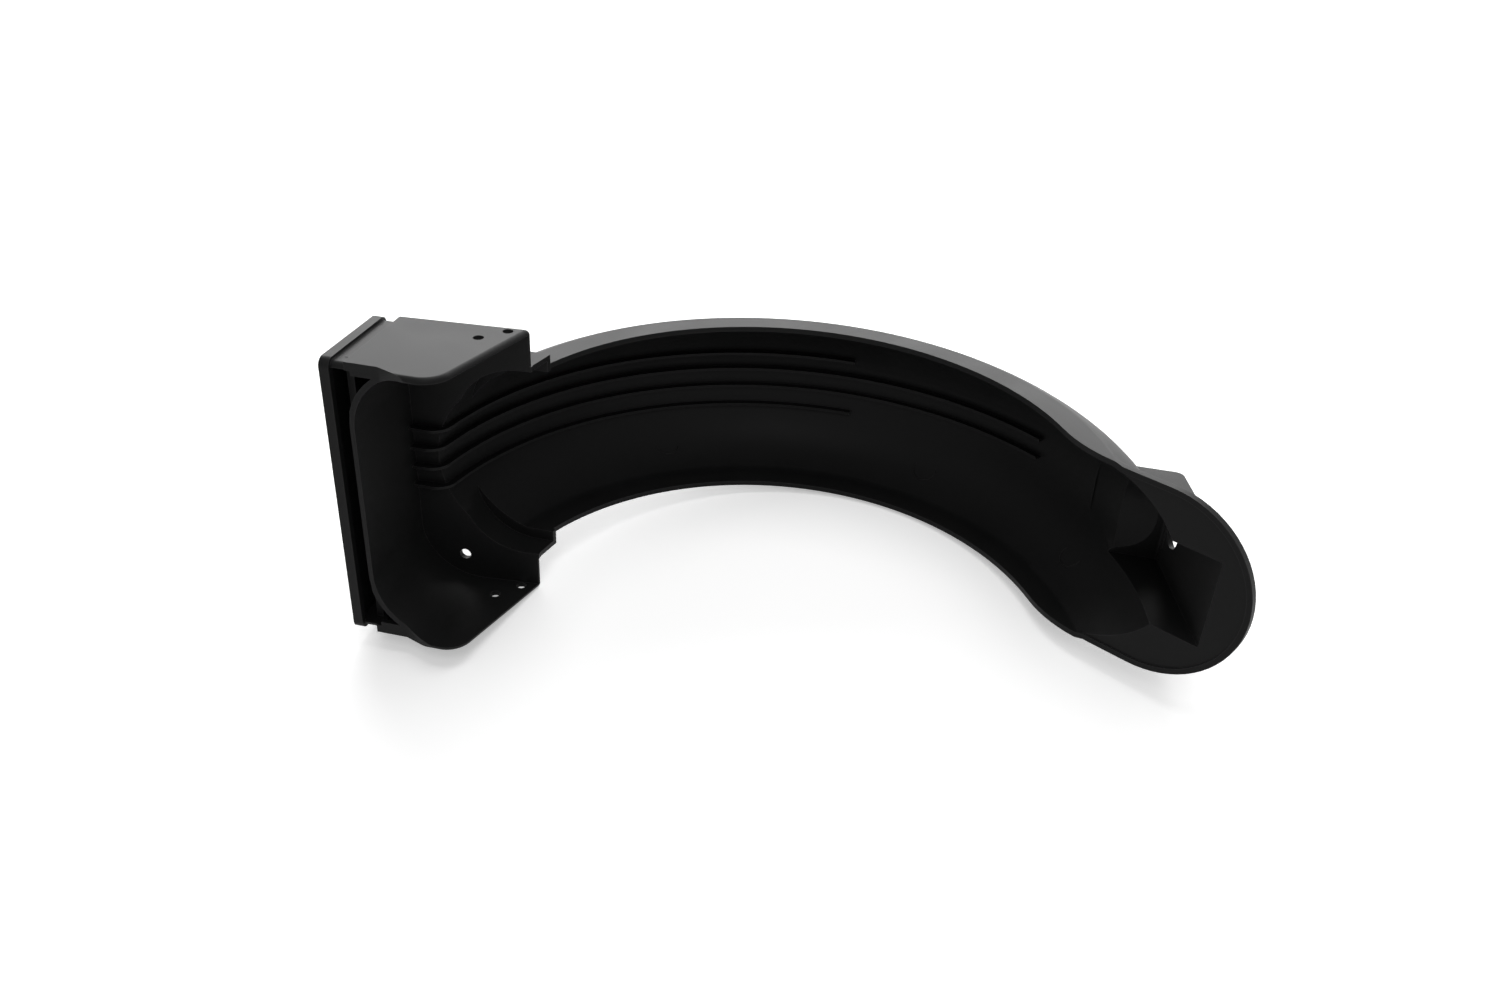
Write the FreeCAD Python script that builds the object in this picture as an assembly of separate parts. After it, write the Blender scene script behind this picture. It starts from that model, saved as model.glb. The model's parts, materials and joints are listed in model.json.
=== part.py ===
import FreeCAD, Part
import math
import os

# Rear mudguard of a kick scooter, moulded in one piece, lying on its side.
# X runs to the rear, Y is up on the scooter, Z is the wheel axis.
# Sizes are millimetres. Angles are degrees about the wheel axis, counted from the rear.

# Wheel arch
wall = 2.5
lip_radius = 127.4
crown_radius = 170.8
crown_round = 48.6
guard_width = 91.2
crown_front_angle = 174.0

# Collar where the arch enters the box
collar_angle = 158.5
collar_lip_inset = 1.6
collar_height = 46.3
collar_setback = 12.0
collar_front = crown_radius - collar_setback
collar_side = 51.0
collar_corner = 32.5

# Fins on the inside of the crown
fin_pitch = 10.0
fin_thickness = 1.3
fin_height = 3.4
fin_foot = 21.5
fin_foot_round = 9.0
fin_long_angle = 49.0
fin_short_angle = 87.0

# Tongue at the tail
tongue_slope = 30.7
tongue_distance = 98.9
tongue_reach = 168.0
tongue_width = 89.0
tongue_thickness = 3.2
tongue_sweep = 60.0
tongue_rim = 2.6
tongue_recess = 0.7

# Lamp housing on the tail
lamp_width = 47.5
lamp_roof = 76.5
lamp_dome_front = 131.0
lamp_dome_rise = 1.5
lamp_mouth_front = 136.0
lamp_mouth_rear = 148.0
lamp_mouth_height = 78.0
lamp_mouth_flare = 1.2
lamp_face_top = 169.5
lamp_face_lean = 11.5
lamp_corner = 4.0
cable_hole = 15.0
cable_hole_drop = 12.5

# Wheel well
well_clearance = 6.7
well_corner = 29.0
well_front = crown_radius + well_clearance

# Front socket
socket_width = 137.0
socket_reach = 12.5
flange_front = well_front + socket_reach
flange_depth = 4.5
flange_top = 26.3
flange_bottom = -24.7
flange_corner = 4.0
flange_bar = 3.0
front_plate = 2.5
neck_length = 6.6
neck_inset = 1.4

# Box behind the socket
shelf_front = 28.0
shelf_rear = 33.0
box_rear = 120.0
box_bottom = -24.0
box_edge = 2.4
box_corner = 1.5
box_inner_round = 2.5
box_return = 6.0
cheek_bottom = -29.5
cheek_setback = 26.0
cheek_drop_length = 14.0
cheek_foot_length = 13.5
cheek_start = flange_front - cheek_setback
cheek_level = cheek_start - cheek_drop_length
cheek_foot = cheek_level - cheek_foot_length
cheek_round = 12.0

# Cross rib in front of the wheel well
rib_thickness = 2.0
rib_bottom = -17.0
rib_height = 14.0

# Holes
screw_hole = 4.8
screw_back = 128.5
screw_up = 26.8
screw_step_x = 9.2
screw_step_y = -10.4
shelf_hole = 5.4
shelf_hole_setback = 33.0
shelf_hole_front = flange_front - shelf_hole_setback
shelf_hole_side = 53.5

# Lengths of the arch whose faces are kept apart, which keeps the facets few
front_seam = 152.0
tail_seam = 37.0

# Clear length added where a cut passes right through a wall
through = 20.0

Z_AXIS = FreeCAD.Vector(0, 0, 1)
ORIGIN = FreeCAD.Vector(0, 0, 0)


def vec(x, y, z=0.0):
    return FreeCAD.Vector(x, y, z)


def polar(radius, angle):
    turn = math.radians(angle)
    return vec(radius * math.cos(turn), radius * math.sin(turn))


def rounded_outline(corners):
    """Closed wire in the XY plane through (x, y, corner radius) points."""
    count = len(corners)
    starts = []
    ends = []
    mids = []
    for index, (x, y, radius) in enumerate(corners):
        point = vec(x, y)
        before = vec(*corners[index - 1][:2]).sub(point).normalize()
        after = vec(*corners[(index + 1) % count][:2]).sub(point).normalize()
        half = before.getAngle(after) / 2
        setback = radius / math.tan(half)
        inward = before.add(after)
        starts.append(point.add(before * setback))
        ends.append(point.add(after * setback))
        if radius:
            mids.append(point.add(inward.normalize() * (radius / math.sin(half) - radius)))
        else:
            mids.append(None)
    edges = []
    for index in range(count):
        if mids[index] is not None:
            edges.append(Part.Arc(starts[index], mids[index], ends[index]).toShape())
        edges.append(Part.makeLine(ends[index], starts[(index + 1) % count]))
    return Part.Wire(edges)


def side_prism(wire, half_width):
    """Side outline in XY, extruded evenly about the middle plane."""
    face = Part.Face(wire)
    face.translate(vec(0, 0, -half_width))
    return face.extrude(vec(0, 0, 2 * half_width))


def plan_prism(corners, low, high):
    """Plan outline of (x, z) points, extruded from y = low to y = high."""
    face = Part.Face(rounded_outline(corners))
    face.rotate(ORIGIN, vec(1, 0, 0), 90)
    face.translate(vec(0, high, 0))
    return face.extrude(vec(0, low - high, 0))


def front_prism(corners, rear, front):
    """Front outline of (z, y) points, extruded from x = -rear to x = -front."""
    face = Part.Face(rounded_outline(corners))
    face.rotate(ORIGIN, vec(0, 1, 0), 90)
    face.translate(vec(-rear, 0, 0))
    return face.extrude(vec(rear - front, 0, 0))


def arch(inset, start, end):
    """Filled wheel arch, from the wheel side to the crown, between two angles."""
    half = guard_width / 2 - inset
    crown = crown_radius - inset
    bend = crown_round - inset
    corner = crown - bend + math.sqrt(bend ** 2 - half ** 2)
    base = lip_radius - through
    edges = [
        Part.makeLine(vec(base, 0, half), vec(corner, 0, half)),
        Part.Arc(vec(corner, 0, half), vec(crown, 0, 0), vec(corner, 0, -half)).toShape(),
        Part.makeLine(vec(corner, 0, -half), vec(base, 0, -half)),
        Part.makeLine(vec(base, 0, -half), vec(base, 0, half)),
    ]
    face = Part.Face(Part.Wire(edges))
    face.rotate(ORIGIN, Z_AXIS, start)
    return face.revolve(ORIGIN, Z_AXIS, end - start)


def shelf_height(x):
    """Height of the box's top face above the wheel axis."""
    front = -flange_front + flange_depth + neck_length
    share = (x - front) / (-box_rear - front)
    return shelf_front + share * (shelf_rear - shelf_front)


tongue_along = vec(math.cos(math.radians(tongue_slope)), -math.sin(math.radians(tongue_slope)))
tongue_out = vec(-tongue_along.y, tongue_along.x)


def on_tongue(along, out=0.0):
    """Point in the middle plane, measured along and out from the tongue's wheel side."""
    return tongue_out * (tongue_distance + out) + tongue_along * along


def sweep_centre():
    """Centre of the arc that leads the skirts' lip into the tongue, and its angle."""
    reach = lip_radius + tongue_sweep
    swing = math.degrees(math.acos((tongue_distance + tongue_sweep) / reach))
    angle = 90 - tongue_slope - swing
    return polar(reach, angle), angle


def wheel_side():
    """Everything on the wheel's side of the lip, the tongue and the collar's edge."""
    centre, angle = sweep_centre()
    leave = polar(lip_radius, angle)
    join = centre.sub(tongue_out * tongue_sweep)
    bend = leave.add(join) * 0.5
    middle = centre.add(bend.sub(centre).normalize() * tongue_sweep)
    lip_end = polar(lip_radius, collar_angle)
    collar_top = polar(lip_radius - collar_lip_inset, collar_angle)
    collar_foot = vec(-box_rear, shelf_rear)
    far = on_tongue(tongue_reach + through)
    deep = -2 * lip_radius
    edges = [
        Part.makeLine(far, join),
        Part.Arc(join, middle, leave).toShape(),
        Part.Arc(leave, polar(lip_radius, (angle + collar_angle) / 2), lip_end).toShape(),
        Part.makeLine(lip_end, collar_top),
        Part.makeLine(collar_top, collar_foot),
        Part.makeLine(collar_foot, vec(-box_rear, deep)),
        Part.makeLine(vec(-box_rear, deep), vec(far.x, deep)),
        Part.makeLine(vec(far.x, deep), far),
    ]
    return side_prism(Part.Wire(edges), socket_width)


def tongue_plate(inset, low, high):
    """Round-ended plate along the tongue, from low to high out of its wheel side."""
    half = tongue_width / 2 - inset
    base = lip_radius / 2
    bend = tongue_reach - tongue_width / 2
    edges = [
        Part.makeLine(vec(base, -half), vec(bend, -half)),
        Part.Arc(vec(bend, -half), vec(bend + half, 0), vec(bend, half)).toShape(),
        Part.makeLine(vec(bend, half), vec(base, half)),
        Part.makeLine(vec(base, half), vec(base, -half)),
    ]
    face = Part.Face(Part.Wire(edges))
    plate = face.extrude(vec(0, 0, high - low))
    plate.rotate(ORIGIN, vec(1, 0, 0), -90)
    plate.translate(vec(0, tongue_distance + low, 0))
    plate.rotate(ORIGIN, Z_AXIS, -tongue_slope)
    return plate


def lamp_face(height, inset):
    """Rear face of the lamp housing: its X at a height, moved in by inset."""
    lean = math.radians(lamp_face_lean)
    return lamp_face_top + (lamp_roof - height) * math.tan(lean) - inset / math.cos(lean)


def lamp_block(inset):
    """Lamp housing's filled side outline across its width."""
    roof = lamp_roof - inset
    outline = rounded_outline([
        (lip_radius, 0, 0),
        (lamp_face(0, inset), 0, 0),
        (lamp_face(roof, inset), roof, lamp_corner - inset),
        (lip_radius, roof, 0),
    ])
    block = side_prism(outline, lamp_width / 2 - inset)
    return block.fuse(lamp_dome(inset))


def dome_section(x, half, spring, rise):
    """Round-topped section across the lamp housing."""
    left = vec(x, spring, -half)
    right = vec(x, spring, half)
    drop = vec(0, half, 0)
    return Part.Wire([
        Part.Arc(left, vec(x, spring + rise, 0), right).toShape(),
        Part.makeLine(right, right.sub(drop)),
        Part.makeLine(right.sub(drop), left.sub(drop)),
        Part.makeLine(left.sub(drop), left),
    ])


def lamp_dome(inset):
    """Roof of the lamp housing, round at the crown and nearly flat at the rear face."""
    half = lamp_width / 2 - inset
    spring = lamp_roof - inset - lamp_corner
    front = dome_section(lamp_dome_front, half, spring, half)
    rear = dome_section(lamp_face(spring, inset), half, spring, lamp_dome_rise)
    return Part.makeLoft([front, rear], True, True)


def lamp_mouth():
    """Flared way from the crown into the lamp housing."""
    half = lamp_width / 2 - wall
    spring = lamp_roof - wall - lamp_corner
    wide = half + lamp_mouth_flare
    share = (lamp_mouth_rear - lamp_dome_front) / (lamp_face(spring, wall) - lamp_dome_front)
    rise = half + share * (lamp_dome_rise - half)
    front = dome_section(lamp_mouth_front, wide, lamp_mouth_height, wide)
    rear = dome_section(lamp_mouth_rear, half, spring, rise)
    return Part.makeLoft([front, rear], True, True)


def box_outline():
    """Side outline of the box behind the neck."""
    front = -flange_front + flange_depth + neck_length
    return rounded_outline([
        (front, box_bottom, 0),
        (-cheek_start, box_bottom, 0),
        (-cheek_level, cheek_bottom, 0),
        (-cheek_foot, cheek_bottom, cheek_round),
        (-box_rear, shelf_rear, box_corner),
        (front, shelf_front, 0),
    ])


def box_block():
    """Filled box with the long edges of its shelf rounded."""
    half = socket_width / 2
    block = side_prism(box_outline(), half)
    shelf_edges = []
    for edge in block.Edges:
        middle = edge.CenterOfMass
        on_side = abs(abs(middle.z) - half) < 1e-3
        if on_side and middle.y > flange_top and edge.Length > box_rear / 4:
            shelf_edges.append(edge)
    return block.makeFillet(box_edge, shelf_edges)


def neck_block():
    """Filled neck between the flange and the box."""
    side = socket_width / 2 - neck_inset
    top = flange_top - neck_inset
    bottom = flange_bottom + neck_inset
    corner = flange_corner - neck_inset
    corners = [(-side, bottom, corner), (side, bottom, corner), (side, top, corner), (-side, top, corner)]
    box_front = flange_front - flange_depth - neck_length
    return front_prism(corners, box_front - wall, flange_front)


def neck_hollow():
    """Space behind the front plate, open downwards behind the flange's lower bar."""
    side = socket_width / 2 - neck_inset - wall
    top = flange_top - neck_inset - wall
    bar = flange_bottom + flange_bar
    low = flange_bottom - through
    rear = flange_front - flange_depth - neck_length - wall
    behind_plate = [(-side, bar, 0), (side, bar, 0), (side, top, 0), (-side, top, 0)]
    behind_bar = [(-side, low, 0), (side, low, 0), (side, top, 0), (-side, top, 0)]
    hollow = front_prism(behind_plate, rear, flange_front - front_plate)
    return hollow.fuse(front_prism(behind_bar, rear, flange_front - flange_depth))


def cross_rib():
    """Rib from cheek to cheek along the front of the wheel well."""
    side = socket_width / 2 - wall / 2
    top = rib_bottom + rib_height
    front = well_front + wall + rib_thickness
    corners = [(-side, rib_bottom, 0), (side, rib_bottom, 0), (side, top, 0), (-side, top, 0)]
    return front_prism(corners, well_front + wall / 2, front)


def flange_block():
    """Flange plate at the mouth of the socket."""
    side = socket_width / 2
    corners = [
        (-side, flange_bottom, flange_corner),
        (side, flange_bottom, flange_corner),
        (side, flange_top, flange_corner),
        (-side, flange_top, flange_corner),
    ]
    return front_prism(corners, flange_front - flange_depth, flange_front)


def well_block(inset):
    """Wheel well's filled plan, from below the box up to its shelf, grown by -inset."""
    side = socket_width / 2 - inset
    front = -well_front - wall + inset
    corner = well_corner + wall - inset
    rear = -box_rear + through
    corners = [(rear, -side, 0), (front, -side, corner), (front, side, corner), (rear, side, 0)]
    return plan_prism(corners, cheek_bottom - through, shelf_rear + through)


def collar_block(inset):
    """Collar's filled plan, from the shelf up to its top face."""
    side = collar_side - inset
    front = -collar_front + inset
    corner = collar_corner - inset
    rear = -box_rear + through
    corners = [(rear, -side, 0), (front, -side, corner), (front, side, corner), (rear, side, 0)]
    return plan_prism(corners, shelf_front - wall, collar_height - inset)


def under_shelf(drop):
    """Space below the shelf's top face lowered by drop."""
    front = -flange_front - through
    rear = -box_rear + through
    low = cheek_bottom - through
    outline = rounded_outline([
        (front, low, 0),
        (rear, low, 0),
        (rear, shelf_height(rear) - drop, 0),
        (front, shelf_height(front) - drop, 0),
    ])
    return side_prism(outline, socket_width)


def box_hollow():
    """Open space in the box in front of the wheel well."""
    side = socket_width / 2 - wall
    foot = side - box_return + wall
    low = cheek_bottom - through
    ledge = box_bottom + wall
    corners = [
        (side, shelf_rear, 0),
        (side, ledge, box_inner_round),
        (foot, ledge, 0),
        (foot, low, 0),
        (-foot, low, 0),
        (-foot, ledge, 0),
        (-side, ledge, box_inner_round),
        (-side, shelf_rear, 0),
    ]
    box_front = flange_front - flange_depth - neck_length
    hollow = front_prism(corners, box_rear, box_front - wall)
    return hollow.common(under_shelf(wall)).cut(well_block(0))


def fin_strip(crest, root, middle, start, end):
    """Thin strip about the wheel axis between two radii and two angles."""
    low = vec(crest, 0, middle - fin_thickness / 2)
    face = Part.makePlane(root - crest, fin_thickness, low, vec(0, -1, 0), vec(1, 0, 0))
    face.rotate(ORIGIN, Z_AXIS, start)
    return face.revolve(ORIGIN, Z_AXIS, end - start)


def fin(middle, end):
    """One fin from its rear end down to a level foot on the wall of the wheel well."""
    bend = crown_round - wall
    sag = bend - math.sqrt(bend ** 2 - middle ** 2)
    root = crown_radius - wall / 2 - sag
    crest = root - wall / 2 - fin_height
    side = middle - fin_thickness / 2
    front = -well_front - wall / 2
    below = Part.makeBox(2 * root, fin_foot, socket_width, vec(-2 * root, 0, -socket_width / 2))
    strip = fin_strip(crest, root, middle, end, crown_front_angle).cut(below)
    foot_height = shelf_height(front) - wall / 2 - fin_foot
    foot = Part.makeBox(-front, foot_height, fin_thickness, vec(front, fin_foot, side))
    foot = foot.cut(Part.makeCylinder(crest, fin_thickness, vec(0, 0, side)))
    whole = strip.fuse(foot).removeSplitter()
    corners = []
    for edge in whole.Edges:
        point = edge.CenterOfMass
        across = abs(edge.Length - fin_thickness) < 1e-3
        if across and abs(point.y - fin_foot) < 1e-3 and math.hypot(point.x, point.y) < crest + 1e-3:
            corners.append(edge)
    return whole.makeFillet(fin_foot_round, corners)


def fins():
    """Thin fins along the inside of the crown, four abreast."""
    made = []
    for place in (-1.5, -0.5, 0.5, 1.5):
        end = fin_short_angle if abs(place) > 1 else fin_long_angle
        made.append(fin(place * fin_pitch, end))
    return made


def drill(centre, direction, diameter, depth):
    """Cylinder of a diameter, from a point along a direction."""
    return Part.makeCylinder(diameter / 2, depth, centre, direction)


def holes():
    """Screw holes in the cheeks, holes in the shelf and the lamp's cable hole."""
    cuts = []
    for side in (-1, 1):
        face = side * (socket_width / 2 + through / 2)
        inward = vec(0, 0, -side)
        first = vec(-screw_back, screw_up, face)
        second = vec(-screw_back - screw_step_x, screw_up + screw_step_y, face)
        cuts.append(drill(first, inward, screw_hole, through))
        cuts.append(drill(second, inward, screw_hole, through))
        above = vec(-shelf_hole_front, shelf_rear + through / 2, side * shelf_hole_side)
        cuts.append(drill(above, vec(0, -1, 0), shelf_hole, through + wall))
    lean = math.radians(lamp_face_lean)
    outward = vec(math.cos(lean), math.sin(lean))
    height = lamp_roof - cable_hole_drop
    centre = vec(lamp_face(height, 0), height).sub(outward * through / 2)
    cuts.append(drill(centre, outward, cable_hole, through))
    return cuts


def arch_length(start, end):
    """Wedge about the wheel axis that takes in the arch between two angles."""
    reach = 2 * flange_front
    corners = [ORIGIN, polar(reach, start), polar(2 * reach, (start + end) / 2), polar(reach, end), ORIGIN]
    return side_prism(Part.makePolygon(corners), socket_width)


def in_lengths(body):
    """The same body with its arch faces divided at the ends of the fins."""
    lengths = []
    rest = body
    angles = (front_seam, fin_short_angle, fin_long_angle, tail_seam)
    for end, start in zip(angles, angles[1:]):
        wedge = arch_length(start, end)
        lengths.append(body.common(wedge))
        rest = rest.cut(wedge)
    return rest.fuse(lengths).Solids[0]


def mudguard():
    """The whole moulding, with its origin at the centre of the flange's front face."""
    tail_angle = -tongue_slope
    wall_angle = math.degrees(wall / lip_radius)
    crown = arch(0, tail_angle, crown_front_angle)
    well = well_block(0).common(box_block())
    box = box_block().cut(box_hollow())
    plate = tongue_plate(0, 0, tongue_thickness)
    body = box.fuse([well, neck_block(), flange_block()])
    body = body.cut(neck_hollow().cut(well_block(0)))
    body = body.fuse([cross_rib(), crown, collar_block(0), plate, lamp_block(0)])
    crown_hollow = arch(wall, tail_angle - wall_angle, crown_front_angle + wall_angle)
    well_hollow = well_block(wall).common(under_shelf(wall))
    lamp_hollow = lamp_block(wall).fuse(lamp_mouth())
    body = body.cut([crown_hollow, collar_block(wall), well_hollow, lamp_hollow, wheel_side()])
    body = body.cut(tongue_plate(tongue_rim, -tongue_thickness, tongue_recess))
    body = body.fuse(fins()).cut(holes())
    body = in_lengths(body.removeSplitter())
    body.translate(vec(flange_front, -(flange_top + flange_bottom) / 2))
    return body


os.makedirs("parts", exist_ok=True)
shape = mudguard()
shape.exportStep("parts/mudguard.step")
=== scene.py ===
"""Studio scene of a moulded rear mudguard for a kick scooter, lying on its side.

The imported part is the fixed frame. The moulding shown here is the same solid with its edges
broken by a small radius, a fine-textured black finish, a pale floor and soft studio light.
Lengths are metres, angles are radians and colours are linear unless a comment says otherwise.
"""

import json
import logging
import math
from dataclasses import dataclass
from enum import Enum, IntEnum

import bmesh
import bpy
from mathutils import Matrix, Vector

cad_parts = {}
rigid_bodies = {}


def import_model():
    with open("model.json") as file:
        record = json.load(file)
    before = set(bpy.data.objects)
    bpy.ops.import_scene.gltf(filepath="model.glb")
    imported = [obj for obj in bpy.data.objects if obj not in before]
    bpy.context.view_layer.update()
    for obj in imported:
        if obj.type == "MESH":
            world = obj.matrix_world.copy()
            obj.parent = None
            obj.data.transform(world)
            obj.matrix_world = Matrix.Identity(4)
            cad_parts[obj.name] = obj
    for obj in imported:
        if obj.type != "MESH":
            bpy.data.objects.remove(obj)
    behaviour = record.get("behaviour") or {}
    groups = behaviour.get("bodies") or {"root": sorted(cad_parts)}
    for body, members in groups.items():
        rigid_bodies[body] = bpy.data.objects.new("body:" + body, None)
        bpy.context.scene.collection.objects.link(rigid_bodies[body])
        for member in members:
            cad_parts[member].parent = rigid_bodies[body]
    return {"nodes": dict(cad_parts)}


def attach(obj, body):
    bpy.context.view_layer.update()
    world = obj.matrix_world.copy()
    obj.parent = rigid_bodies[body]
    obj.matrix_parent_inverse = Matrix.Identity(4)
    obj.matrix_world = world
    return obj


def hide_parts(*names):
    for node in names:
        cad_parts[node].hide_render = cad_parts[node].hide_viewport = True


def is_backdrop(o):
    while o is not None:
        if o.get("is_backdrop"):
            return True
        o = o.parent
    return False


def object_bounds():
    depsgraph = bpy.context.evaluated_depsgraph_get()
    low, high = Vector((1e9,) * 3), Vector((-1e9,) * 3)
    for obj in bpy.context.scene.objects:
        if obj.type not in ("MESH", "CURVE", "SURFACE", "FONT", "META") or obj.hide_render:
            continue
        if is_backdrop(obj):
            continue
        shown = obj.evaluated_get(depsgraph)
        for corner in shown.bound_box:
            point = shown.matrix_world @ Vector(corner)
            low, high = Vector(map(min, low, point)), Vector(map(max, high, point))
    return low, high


MM = 0.001
GUARD_NODE = "mudguard"
BODY = "root"
PLASTIC_SLOT = "black_plastic"
VALUE_SOCKET = "NodeSocketFloat"
WHITE = (1.0, 1.0, 1.0, 1.0)
UPWARD = Vector((0.0, 0.0, 1.0))
LOG = logging.getLogger("mudguard")

Colour = tuple[float, float, float, float]


class LampRole(Enum):
    """What a softbox does for the picture."""

    BACK = "back"
    TOP = "top"
    FRONT = "front"


class ColourMix(IntEnum):
    """Places of the Mix node's sockets when it mixes colours."""

    FACTOR = 0
    FIRST = 6
    SECOND = 7
    RESULT = 2


@dataclass(frozen=True)
class PlasticFinish:
    """Fine-textured black moulded plastic."""

    colour: Colour = (0.0062, 0.0062, 0.0063, 1.0)
    faded: Colour = (0.0100, 0.0100, 0.0101, 1.0)
    # Paler colour painted on the edges as a highlight, in place of the light that their
    # rounding catches.
    painted_edge_highlight: Colour = (0.0260, 0.0260, 0.0265, 1.0)
    specular: float = 0.11
    facing_gloss: Colour = (0.75, 0.75, 0.75, 1.0)
    roughness_low: float = 0.40
    roughness_high: float = 0.54
    grain_size: float = 0.45 * MM
    grain_depth: float = 0.02 * MM
    flow_size: float = 38.0 * MM
    # Width and strength of the painted edge highlight's mask.
    edge_width: float = 0.7 * MM
    edge_highlight_gain: float = 6.0


@dataclass(frozen=True)
class Softbox:
    """A rectangular studio light aimed at the part."""

    role: LampRole
    place: tuple[float, float, float]
    size: tuple[float, float]
    watts: float

    def build(self, target: Vector) -> bpy.types.Object:
        """Create the light.

        Args:
            target: The point that the light faces.

        Returns:
            The light object.
        """
        data = bpy.data.lights.new(f"softbox_{self.role.value}", "AREA")
        data.shape = "RECTANGLE"
        data.size, data.size_y = self.size
        data.energy = self.watts
        lamp = bpy.data.objects.new(data.name, data)
        lamp.location = self.place
        aim = target - Vector(self.place)
        lamp.rotation_mode = "QUATERNION"
        lamp.rotation_quaternion = aim.to_track_quat("-Z", "Y")
        bpy.context.scene.collection.objects.link(lamp)
        return lamp


@dataclass(frozen=True)
class PhotoCamera:
    """The photograph's camera in the part's own frame.

    Yaw turns from +Y towards +X, pitch is below the horizon and roll is about the view.
    The focal length is in pixels of the photograph, the sensor's width in millimetres.
    """

    place: tuple[float, float, float] = (0.26248, -0.43538, 0.28628)
    yaw: float = -0.1916
    pitch: float = 0.5415
    roll: float = 0.0622
    focal_pixels: float = 1227.85
    image_width: float = 1500.0
    sensor_width: float = 36.0
    clip_start: float = 0.01

    def axes(self) -> tuple[Vector, Vector, Vector]:
        """Work out the camera's right, up and forward directions.

        Returns:
            Three unit vectors.
        """
        level = math.cos(self.pitch)
        east = math.sin(self.yaw) * level
        north = math.cos(self.yaw) * level
        forward = Vector((east, north, -math.sin(self.pitch)))
        flat_right = Vector((math.cos(self.yaw), -math.sin(self.yaw), 0.0))
        flat_up = flat_right.cross(forward)
        right = flat_right * math.cos(self.roll) + flat_up * math.sin(self.roll)
        return right, right.cross(forward), forward

    def build(self) -> bpy.types.Object:
        """Create the camera and make it the scene's own.

        Returns:
            The camera object.
        """
        data = bpy.data.cameras.new("photo_camera")
        data.sensor_width = self.sensor_width
        data.lens = self.focal_pixels * self.sensor_width / self.image_width
        data.clip_start = self.clip_start
        camera = bpy.data.objects.new(data.name, data)
        right, up, forward = self.axes()
        turn = Matrix((right, up, -forward)).transposed()
        camera.matrix_world = Matrix.Translation(self.place) @ turn.to_4x4()
        bpy.context.scene.collection.objects.link(camera)
        bpy.context.scene.camera = camera
        return camera


class NodeGroup:
    """A shader node group under construction."""

    def __init__(self, name: str) -> None:
        """Start an empty group with its input and output nodes.

        Args:
            name: The group's name.
        """
        self.tree = bpy.data.node_groups.new(name, "ShaderNodeTree")
        self.inputs = self.tree.nodes.new("NodeGroupInput")
        self.outputs = self.tree.nodes.new("NodeGroupOutput")

    def take(self, name: str) -> bpy.types.NodeSocket:
        """Add an input value, which each material sets for itself.

        Args:
            name: The socket's name.

        Returns:
            The socket to link from inside the group.
        """
        self.tree.interface.new_socket(name, in_out="INPUT", socket_type=VALUE_SOCKET)
        return self.inputs.outputs[name]

    def give(self, name: str, source: bpy.types.NodeSocket) -> None:
        """Add an output value.

        Args:
            name: The socket's name.
            source: The socket inside the group that feeds it.
        """
        self.tree.interface.new_socket(name, in_out="OUTPUT", socket_type=VALUE_SOCKET)
        self.link(source, self.outputs.inputs[name])

    def node(self, kind: str, **settings: object) -> bpy.types.Node:
        """Add a node with its properties set.

        Args:
            kind: The node's type name.
            **settings: Properties of the node.

        Returns:
            The new node.
        """
        made = self.tree.nodes.new(kind)
        for key, value in settings.items():
            setattr(made, key, value)
        return made

    def link(self, source: bpy.types.NodeSocket, target: bpy.types.NodeSocket) -> None:
        """Link two sockets inside the group."""
        self.tree.links.new(source, target)

    def maths(self, operation: str, first: object, second: object) -> bpy.types.NodeSocket:
        """Combine two values.

        Args:
            operation: The Math node's operation.
            first: A socket or a number.
            second: A socket or a number.

        Returns:
            The result's socket.
        """
        made = self.node("ShaderNodeMath", operation=operation)
        for socket, value in zip(made.inputs, (first, second)):
            if isinstance(value, bpy.types.NodeSocket):
                self.link(value, socket)
            else:
                socket.default_value = value
        return made.outputs[0]


@dataclass(frozen=True)
class MouldGrain:
    """The spark-eroded grain that a mould leaves on plastic, and the slow flow of its sheen."""

    grain_detail: float = 3.0
    grain_roughness: float = 0.62
    flow_detail: float = 2.0
    flow_distortion: float = 0.6

    def build(self) -> bpy.types.ShaderNodeTree:
        """Build the group.

        Returns:
            A group with the grain's height and the slow change of sheen over the part.
        """
        group = NodeGroup("MouldGrain")
        grain_size = group.take("Grain Size")
        flow_size = group.take("Flow Size")
        place = group.node("ShaderNodeTexCoord").outputs["Object"]
        grain = group.node("ShaderNodeTexNoise")
        grain.inputs["Detail"].default_value = self.grain_detail
        grain.inputs["Roughness"].default_value = self.grain_roughness
        flow = group.node("ShaderNodeTexNoise")
        flow.inputs["Detail"].default_value = self.flow_detail
        flow.inputs["Distortion"].default_value = self.flow_distortion
        for noise, size in ((grain, grain_size), (flow, flow_size)):
            group.link(place, noise.inputs["Vector"])
            group.link(group.maths("DIVIDE", 1.0, size), noise.inputs["Scale"])
        group.give("Height", grain.outputs["Fac"])
        group.give("Flow", flow.outputs["Fac"])
        return group.tree


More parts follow.
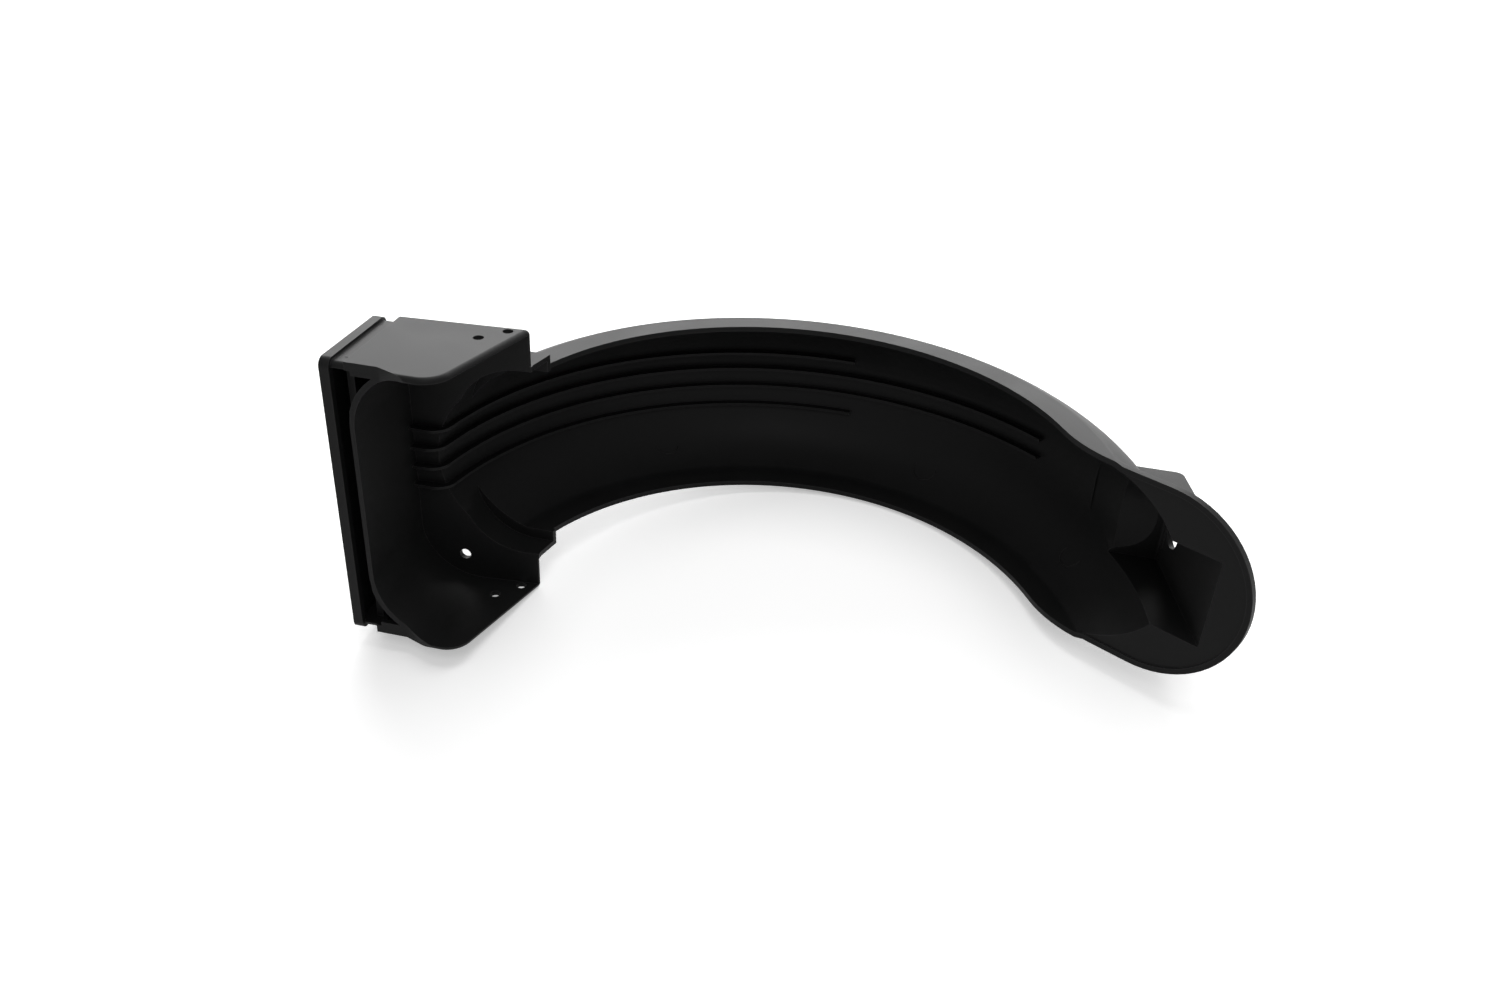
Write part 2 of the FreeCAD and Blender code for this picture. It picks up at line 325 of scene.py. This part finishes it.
@dataclass(frozen=True)
class PaintedEdgeHighlight:
    """The mask of rounded edges that get a painted highlight: a paler colour standing in for
    the light that the edges catch.
    """

    samples: int = 4

    def build(self) -> bpy.types.ShaderNodeTree:
        """Build the group.

        Returns:
            A group with one mask, 1 on an edge and 0 on a flat face.
        """
        group = NodeGroup("PaintedEdgeHighlight")
        width = group.take("Width")
        gain = group.take("Gain")
        bevel = group.node("ShaderNodeBevel", samples=self.samples)
        group.link(width, bevel.inputs["Radius"])
        geometry = group.node("ShaderNodeNewGeometry")
        facing = group.node("ShaderNodeVectorMath", operation="DOT_PRODUCT")
        group.link(bevel.outputs["Normal"], facing.inputs[0])
        group.link(geometry.outputs["Normal"], facing.inputs[1])
        turned = group.maths("SUBTRACT", 1.0, facing.outputs["Value"])
        strength = group.maths("MULTIPLY", turned, gain)
        group.give("Mask", group.maths("MINIMUM", strength, 1.0))
        return group.tree


@dataclass(frozen=True)
class BlackPlastic:
    """The part's one material."""

    finish: PlasticFinish = PlasticFinish()
    grain: MouldGrain = MouldGrain()
    highlight_mask: PaintedEdgeHighlight = PaintedEdgeHighlight()

    def build(self) -> bpy.types.Material:
        """Create the material.

        Returns:
            The material, ready to assign.
        """
        finish = self.finish
        material = bpy.data.materials.new(PLASTIC_SLOT)
        material.use_nodes = True
        nodes = material.node_tree.nodes
        links = material.node_tree.links
        shader = nodes["Principled BSDF"]
        shader.inputs["Specular IOR Level"].default_value = finish.specular
        shader.inputs["Specular Tint"].default_value = finish.facing_gloss

        grain = nodes.new("ShaderNodeGroup")
        grain.node_tree = self.grain.build()
        grain.inputs["Grain Size"].default_value = finish.grain_size
        grain.inputs["Flow Size"].default_value = finish.flow_size

        # Mask of the edges that get the painted highlight.
        highlight_mask = nodes.new("ShaderNodeGroup")
        highlight_mask.node_tree = self.highlight_mask.build()
        highlight_mask.inputs["Width"].default_value = finish.edge_width
        highlight_mask.inputs["Gain"].default_value = finish.edge_highlight_gain

        tone = nodes.new("ShaderNodeMix")
        tone.data_type = "RGBA"
        tone.inputs[ColourMix.FIRST].default_value = finish.colour
        tone.inputs[ColourMix.SECOND].default_value = finish.faded
        links.new(grain.outputs["Flow"], tone.inputs[ColourMix.FACTOR])

        # Painted highlight: the edges take a paler colour, standing in for light caught by
        # their rounding.
        with_painted_highlight = nodes.new("ShaderNodeMix")
        with_painted_highlight.data_type = "RGBA"
        with_painted_highlight.inputs[ColourMix.SECOND].default_value = finish.painted_edge_highlight
        links.new(highlight_mask.outputs["Mask"], with_painted_highlight.inputs[ColourMix.FACTOR])
        links.new(tone.outputs[ColourMix.RESULT], with_painted_highlight.inputs[ColourMix.FIRST])
        links.new(with_painted_highlight.outputs[ColourMix.RESULT], shader.inputs["Base Color"])

        sheen = nodes.new("ShaderNodeMapRange")
        sheen.inputs["To Min"].default_value = finish.roughness_low
        sheen.inputs["To Max"].default_value = finish.roughness_high
        links.new(grain.outputs["Flow"], sheen.inputs["Value"])
        links.new(sheen.outputs["Result"], shader.inputs["Roughness"])

        bump = nodes.new("ShaderNodeBump")
        bump.inputs["Distance"].default_value = finish.grain_depth
        links.new(grain.outputs["Height"], bump.inputs["Height"])
        links.new(bump.outputs["Normal"], shader.inputs["Normal"])
        return material


def add_piece(mesh: bpy.types.Mesh, material: bpy.types.Material) -> bpy.types.Object:
    """Put a piece of the part into the scene, riding on its one body.

    Args:
        mesh: The piece's mesh, which has the piece's name.
        material: The piece's material.

    Returns:
        The piece.
    """
    mesh.materials.append(material)
    piece = bpy.data.objects.new(mesh.name, mesh)
    bpy.context.scene.collection.objects.link(piece)
    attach(piece, BODY)
    return piece


@dataclass(frozen=True)
class CrownInside:
    """Inside surface of the arch's crown, a ring of round section about the wheel axis."""

    axle: tuple[float, float, float] = (190.0 * MM, -0.8 * MM, 0.0)
    ring_radius: float = 122.2 * MM
    section_radius: float = 46.1 * MM

    def point(self, angle: float, side: float) -> tuple[Vector, Vector]:
        """Find a point on the surface.

        Args:
            angle: Angle about the wheel axis, counted from the rear.
            side: Distance from the middle plane.

        Returns:
            The point, and the unit normal that points to the wheel.
        """
        lean = math.asin(side / self.section_radius)
        outward = Vector((math.cos(angle), math.sin(angle), 0.0))
        normal = -outward * math.cos(lean) - UPWARD * math.sin(lean)
        centre = Vector(self.axle) + outward * self.ring_radius
        return centre - normal * self.section_radius, normal

    def nearest(self, place: Vector) -> tuple[Vector, Vector]:
        """Find the point of the surface that is nearest to a place inside the arch.

        Args:
            place: Any point near the surface.

        Returns:
            The point, and the unit normal that points to the wheel.
        """
        axle = Vector(self.axle)
        outward = place - axle
        outward.z = 0.0
        centre = axle + outward.normalized() * self.ring_radius
        normal = (centre - place).normalized()
        return centre - normal * self.section_radius, normal


@dataclass(frozen=True)
class EjectorMark:
    """Where an ejector pin met the crown, and how wide the gap in its outline is."""

    angle: float
    opening: float


@dataclass(frozen=True)
class EjectorMarks:
    """Fine raised outlines that the ejector pins left on the inside of the crown.

    The gap in each outline faces up as the part lies.
    """

    surface: CrownInside = CrownInside()
    marks: tuple[EjectorMark, ...] = (
        EjectorMark(math.radians(123.0), math.radians(190.0)),
        EjectorMark(math.radians(69.7), math.radians(120.0)),
        EjectorMark(math.radians(32.3), math.radians(150.0)),
    )
    side: float = -32.5 * MM
    radius: float = 6.0 * MM
    line: float = 0.40 * MM
    end_share: float = 0.1
    fade: float = math.radians(30.0)
    steps: int = 40
    facets: int = 8

    def thickness(self, from_end: float) -> float:
        """Work out the bead's radius, which dies away at the outline's ends.

        Args:
            from_end: Angle along the outline from its nearer end.

        Returns:
            The bead's radius.
        """
        grown = min(1.0, from_end / self.fade)
        return self.line * (self.end_share + (1.0 - self.end_share) * grown)

    def outline(self, mark: EjectorMark) -> list[list[Vector]]:
        """Work out the sections of one outline, laid on the crown.

        Args:
            mark: The mark.

        Returns:
            Rings of points along the outline.
        """
        centre, normal = self.surface.point(mark.angle, self.side)
        along = normal.cross(UPWARD).normalized()
        across = along.cross(normal)
        if across.z > 0.0:
            across.negate()
        first = mark.opening / 2 - math.pi / 2
        sweep = 2 * math.pi - mark.opening
        rings = []
        for step in range(self.steps + 1):
            turned = sweep * step / self.steps
            outward = along * math.cos(first + turned) + across * math.sin(first + turned)
            point, up = self.surface.nearest(centre + outward * self.radius)
            thick = self.thickness(min(turned, sweep - turned))
            ring = []
            for facet in range(self.facets):
                swing = 2 * math.pi * facet / self.facets
                ring.append(point + (up * math.cos(swing) + outward * math.sin(swing)) * thick)
            rings.append(ring)
        return rings

    def mesh(self, name: str, mark: EjectorMark) -> bpy.types.Mesh:
        """Make one outline as a fine closed bead.

        Args:
            name: The mesh's name.
            mark: The mark.

        Returns:
            The mesh.
        """
        work = bmesh.new()
        rings = [[work.verts.new(point) for point in ring] for ring in self.outline(mark)]
        for before, after in zip(rings, rings[1:]):
            for facet in range(self.facets):
                other = (facet + 1) % self.facets
                work.faces.new((before[facet], before[other], after[other], after[facet]))
        work.faces.new(rings[0])
        work.faces.new(rings[-1])
        bmesh.ops.recalc_face_normals(work, faces=work.faces)
        mesh = bpy.data.meshes.new(name)
        work.to_mesh(mesh)
        work.free()
        mesh.shade_smooth()
        return mesh

    def build(self, material: bpy.types.Material) -> list[bpy.types.Object]:
        """Set the marks on the crown.

        Args:
            material: The moulding's material.

        Returns:
            The marks.
        """
        made = []
        for number, mark in enumerate(self.marks, start=1):
            made.append(add_piece(self.mesh(f"ejector_mark_{number}", mark), material))
        return made


@dataclass
class Moulding:
    """The one moulded piece, with its edges broken by a small radius."""

    node: bpy.types.Object
    name: str = "mudguard_moulding"
    weld: float = 0.002 * MM
    flat_angle: float = math.radians(0.3)
    sharp_angle: float = math.radians(24.0)
    edge_radius: float = 0.35 * MM
    edge_segments: int = 2
    edge_profile: float = 0.5
    crease_angle: float = math.radians(60.0)

    def is_sharp(self, edge: bmesh.types.BMEdge) -> bool:
        """Tell whether an edge is sharp enough to be broken."""
        return edge.is_manifold and edge.calc_face_angle() > self.sharp_angle

    def shape(self) -> bpy.types.Mesh:
        """Copy the solid's mesh and break its sharp edges.

        Returns:
            The finished mesh.
        """
        work = bmesh.new()
        work.from_mesh(self.node.data)
        bmesh.ops.remove_doubles(work, verts=work.verts, dist=self.weld)
        bmesh.ops.dissolve_limit(
            work,
            angle_limit=self.flat_angle,
            verts=work.verts,
            edges=work.edges,
            delimit={"NORMAL"},
        )
        bmesh.ops.bevel(
            work,
            geom=[edge for edge in work.edges if self.is_sharp(edge)],
            offset=self.edge_radius,
            offset_type="OFFSET",
            segments=self.edge_segments,
            profile=self.edge_profile,
            affect="EDGES",
            clamp_overlap=True,
        )
        for face in work.faces:
            face.smooth = True
        mesh = bpy.data.meshes.new(self.name)
        work.to_mesh(mesh)
        work.free()
        mesh.set_sharp_from_angle(angle=self.crease_angle)
        return mesh

    def build(self, material: bpy.types.Material) -> bpy.types.Object:
        """Create the piece and put it in the solid's place.

        Args:
            material: The moulding's material.

        Returns:
            The piece.
        """
        piece = add_piece(self.shape(), material)
        level = piece.modifiers.new("flat_faces", "WEIGHTED_NORMAL")
        level.keep_sharp = True
        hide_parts(self.node.name)
        return piece


@dataclass
class RestingPlane:
    """The surface that the part lies on, found from its own hull.

    A hull face counts only where its normal points down by at least the share given.
    """

    node: bpy.types.Object
    least_down: float = 0.8
    slack: float = 1e-9

    def centre_of_mass(self) -> Vector:
        """Work out the solid's centre from its closed mesh, one tetrahedron for each triangle.

        Returns:
            The centre.
        """
        mesh = self.node.data
        mesh.calc_loop_triangles()
        volume = 0.0
        moment = Vector()
        for triangle in mesh.loop_triangles:
            a, b, c = (mesh.vertices[index].co for index in triangle.vertices)
            part = a.dot(b.cross(c)) / 6.0
            volume += part
            moment += (a + b + c) * (part / 4.0)
        return moment / volume

    def holds(self, face: bmesh.types.BMFace, foot: Vector, down: Vector) -> bool:
        """Tell whether a point in a hull face's plane is inside the face.

        Args:
            face: The hull face.
            foot: The point.
            down: The face's unit normal.

        Returns:
            True if the point is inside.
        """
        corners = [vert.co for vert in face.verts]
        turns = []
        for start, end in zip(corners, corners[1:] + corners[:1]):
            turns.append((end - start).cross(foot - start).dot(down))
        return min(turns) >= -self.slack or max(turns) <= self.slack

    def find(self) -> tuple[Vector, Vector]:
        """Find the hull face under the centre of mass.

        Returns:
            A point on the plane, and the plane's upward normal.
        """
        centre = self.centre_of_mass()
        hull = bmesh.new()
        hull.from_mesh(self.node.data)
        made = bmesh.ops.convex_hull(hull, input=hull.verts)
        best = None
        for face in made["geom"]:
            if not isinstance(face, bmesh.types.BMFace):
                continue
            down = face.normal.copy()
            if down.dot(face.calc_center_median() - centre) < 0.0:
                down.negate()
            if down.z > -self.least_down:
                continue
            depth = (face.verts[0].co - centre).dot(down)
            foot = centre + down * depth
            if self.holds(face, foot, down) and (best is None or down.z < best[1].z):
                best = (foot, down)
        hull.free()
        foot, down = best
        return foot, -down


@dataclass
class Studio:
    """Pale floor, white surround and soft lights."""

    floor_point: Vector
    floor_normal: Vector
    target: Vector
    floor_reach: float = 1.6
    floor_gap: float = 0.1 * MM
    floor_colour: Colour = (0.86, 0.86, 0.86, 1.0)
    floor_lift: float = 0.41
    fade_start: float = 0.45
    fade_end: float = 0.90
    world_level: float = 0.24
    softboxes: tuple[Softbox, ...] = (
        Softbox(LampRole.BACK, (-0.05, 1.30, 0.75), (2.2, 0.9), 34.0),
        Softbox(LampRole.TOP, (0.20, 0.20, 1.40), (1.0, 1.0), 10.0),
        Softbox(LampRole.FRONT, (0.35, -0.90, 1.15), (0.5, 0.5), 2.5),
    )

    @staticmethod
    def seen_directly(tree: bpy.types.NodeTree) -> bpy.types.NodeSocket:
        """Add the mask of rays that see the background as it is.

        Args:
            tree: The node tree to add to.

        Returns:
            A socket that is 1 for camera, glossy and transmission rays.
        """
        path = tree.nodes.new("ShaderNodeLightPath")
        mask = path.outputs["Is Camera Ray"]
        for ray in ("Is Glossy Ray", "Is Transmission Ray"):
            either = tree.nodes.new("ShaderNodeMath")
            either.operation = "MAXIMUM"
            tree.links.new(mask, either.inputs[0])
            tree.links.new(path.outputs[ray], either.inputs[1])
            mask = either.outputs[0]
        return mask

    def floor_glow(self, tree: bpy.types.NodeTree) -> bpy.types.NodeSocket:
        """Add the light that lifts the paper to white, more so away from the part.

        Args:
            tree: The floor's node tree.

        Returns:
            The glow's shader socket.
        """
        place = tree.nodes.new("ShaderNodeTexCoord")
        distance = tree.nodes.new("ShaderNodeVectorMath")
        distance.operation = "LENGTH"
        tree.links.new(place.outputs["Object"], distance.inputs[0])
        fade = tree.nodes.new("ShaderNodeMapRange")
        fade.inputs["From Min"].default_value = self.fade_start
        fade.inputs["From Max"].default_value = self.fade_end
        fade.inputs["To Min"].default_value = self.floor_lift
        fade.inputs["To Max"].default_value = 1.0
        tree.links.new(distance.outputs["Value"], fade.inputs["Value"])
        level = tree.nodes.new("ShaderNodeMath")
        level.operation = "MULTIPLY"
        tree.links.new(self.seen_directly(tree), level.inputs[0])
        tree.links.new(fade.outputs["Result"], level.inputs[1])
        glow = tree.nodes.new("ShaderNodeEmission")
        tree.links.new(level.outputs[0], glow.inputs["Strength"])
        return glow.outputs[0]

    def floor_material(self) -> bpy.types.Material:
        """Create the floor's paper white, which keeps the part's shadow.

        Returns:
            The material.
        """
        material = bpy.data.materials.new("floor_paper")
        material.use_nodes = True
        tree = material.node_tree
        tree.nodes.clear()
        paper = tree.nodes.new("ShaderNodeBsdfDiffuse")
        paper.inputs["Color"].default_value = self.floor_colour
        both = tree.nodes.new("ShaderNodeAddShader")
        tree.links.new(paper.outputs[0], both.inputs[0])
        tree.links.new(self.floor_glow(tree), both.inputs[1])
        output = tree.nodes.new("ShaderNodeOutputMaterial")
        tree.links.new(both.outputs[0], output.inputs["Surface"])
        return material

    def floor(self) -> bpy.types.Object:
        """Lay the floor under the part.

        Returns:
            The floor, marked as stage.
        """
        mesh = bpy.data.meshes.new("floor")
        near = -self.floor_reach
        far = self.floor_reach
        corners = [(near, near, 0.0), (far, near, 0.0), (far, far, 0.0), (near, far, 0.0)]
        mesh.from_pydata(corners, [], [(0, 1, 2, 3)])
        mesh.materials.append(self.floor_material())
        floor = bpy.data.objects.new("floor", mesh)
        turn = self.floor_normal.to_track_quat("Z", "Y").to_matrix().to_4x4()
        place = self.floor_point - self.floor_normal * self.floor_gap
        floor.matrix_world = Matrix.Translation(place) @ turn
        bpy.context.scene.collection.objects.link(floor)
        floor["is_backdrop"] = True
        return floor

    def surround(self) -> bpy.types.World:
        """Make the world white where it is seen and dim where it lights.

        Returns:
            The world.
        """
        world = bpy.data.worlds.new("white_surround")
        world.use_nodes = True
        tree = world.node_tree
        glow = tree.nodes["Background"]
        glow.inputs["Color"].default_value = WHITE
        level = tree.nodes.new("ShaderNodeMapRange")
        level.inputs["To Min"].default_value = self.world_level
        level.inputs["To Max"].default_value = 1.0
        tree.links.new(self.seen_directly(tree), level.inputs["Value"])
        tree.links.new(level.outputs["Result"], glow.inputs["Strength"])
        bpy.context.scene.world = world
        return world

    def build(self) -> list[bpy.types.Object]:
        """Set up the floor, the surround and the lights.

        Returns:
            The floor and the lights.
        """
        self.surround()
        bpy.context.scene.view_settings.view_transform = "Standard"
        return [self.floor()] + [softbox.build(self.target) for softbox in self.softboxes]


def clear_scene() -> None:
    """Remove what a new file starts with."""
    for thing in list(bpy.data.objects):
        bpy.data.objects.remove(thing)


def main() -> None:
    """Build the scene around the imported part."""
    logging.basicConfig(level=logging.INFO, format="%(name)s: %(message)s")
    clear_scene()
    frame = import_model()
    cad_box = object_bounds()
    node = frame["nodes"][GUARD_NODE]
    foot, normal = RestingPlane(node).find()
    LOG.info("rests on a plane tilted %.1f degrees", math.degrees(normal.angle(UPWARD)))
    material = BlackPlastic().build()
    pieces = [Moulding(node).build(material)]
    pieces += EjectorMarks().build(material)
    for piece in pieces:
        LOG.info("%s: %d faces", piece.name, len(piece.data.polygons))
    middle = (cad_box[0] + cad_box[1]) / 2
    for thing in Studio(foot, normal, middle).build():
        LOG.info("%s is set up", thing.name)
    camera = PhotoCamera().build()
    LOG.info("%s: lens of %.1f mm", camera.name, camera.data.lens)


if __name__ == "__main__":
    main()
